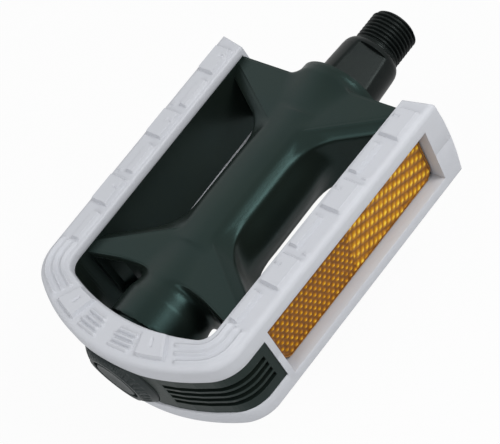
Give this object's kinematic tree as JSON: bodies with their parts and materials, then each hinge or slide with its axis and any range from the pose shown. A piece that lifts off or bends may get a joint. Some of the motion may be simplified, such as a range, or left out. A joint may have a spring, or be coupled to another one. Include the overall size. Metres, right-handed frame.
{
  "type": "bicycle pedal",
  "caption": "Platform bicycle pedal with a dark resin body, pale grey U-shaped tread cover, amber side reflectors and a threaded steel spindle.",
  "frame": {"origin": "on the spindle's axis, in the plane of the shoulder that seats on the crank", "axes": "+Y along the spindle towards the crank, so the body lies on the -Y side; +Z out of one tread face; +X towards the reflector side that the picture shows"},
  "size_m": [0.076, 0.1263, 0.0298],
  "materials": {
    "core_resin": "dark green black moulded resin, satin",
    "tread_grey": "pale lavender grey soft tread, matte",
    "amber_lens": "amber reflector lens, glossy, prismatic",
    "reflector_base": "red brown reflector backing",
    "black_steel": "blackened steel, satin",
    "bearing_steel": "hardened pressed steel",
    "zinc_steel": "zinc plated steel",
    "cap_plastic": "dark grey green moulded plastic",
    "seal_rubber": "black sealing ring",
    "ball_steel": "polished bearing balls"
  },
  "bodies": {
    "spindle_body": {"spindle": "black_steel", "outer_cone": "zinc_steel", "lock_washer": "zinc_steel", "lock_nut": "zinc_steel"},
    "pedal_body": {"body_core": "core_resin", "tread_cover": "tread_grey", "reflector_lens_front": "amber_lens", "reflector_lens_rear": "amber_lens", "reflector_back_front": "reflector_base", "reflector_back_rear": "reflector_base", "inner_cup": "bearing_steel", "outer_cup": "bearing_steel", "dust_cap": "cap_plastic", "dust_seal": "seal_rubber"},
    "inner_balls": {"inner_ball_1": "ball_steel", "inner_ball_2": "ball_steel", "inner_ball_3": "ball_steel", "inner_ball_4": "ball_steel", "inner_ball_5": "ball_steel", "inner_ball_6": "ball_steel", "inner_ball_7": "ball_steel", "inner_ball_8": "ball_steel", "inner_ball_9": "ball_steel", "inner_ball_10": "ball_steel", "inner_ball_11": "ball_steel", "inner_ball_12": "ball_steel"},
    "outer_balls": {"outer_ball_1": "ball_steel", "outer_ball_2": "ball_steel", "outer_ball_3": "ball_steel", "outer_ball_4": "ball_steel", "outer_ball_5": "ball_steel", "outer_ball_6": "ball_steel", "outer_ball_7": "ball_steel", "outer_ball_8": "ball_steel", "outer_ball_9": "ball_steel", "outer_ball_10": "ball_steel", "outer_ball_11": "ball_steel", "outer_ball_12": "ball_steel"}
  },
  "joints": [
    {"name": "pedal_spin", "type": "hinge", "parent": "spindle_body", "child": "pedal_body", "pos_m": [0, -0.06, 0], "axis": [0, 1, 0], "continuous": true},
    {"name": "inner_ball_spin", "type": "hinge", "parent": "spindle_body", "child": "inner_balls", "pos_m": [0, -0.02, 0], "axis": [0, 1, 0], "continuous": true},
    {"name": "outer_ball_spin", "type": "hinge", "parent": "spindle_body", "child": "outer_balls", "pos_m": [0, -0.1, 0], "axis": [0, 1, 0], "continuous": true}
  ],
  "couplings": [
    {"joint": "inner_ball_spin", "follows": "pedal_spin", "ratio": 0.58},
    {"joint": "outer_ball_spin", "follows": "pedal_spin", "ratio": 0.58}
  ]
}
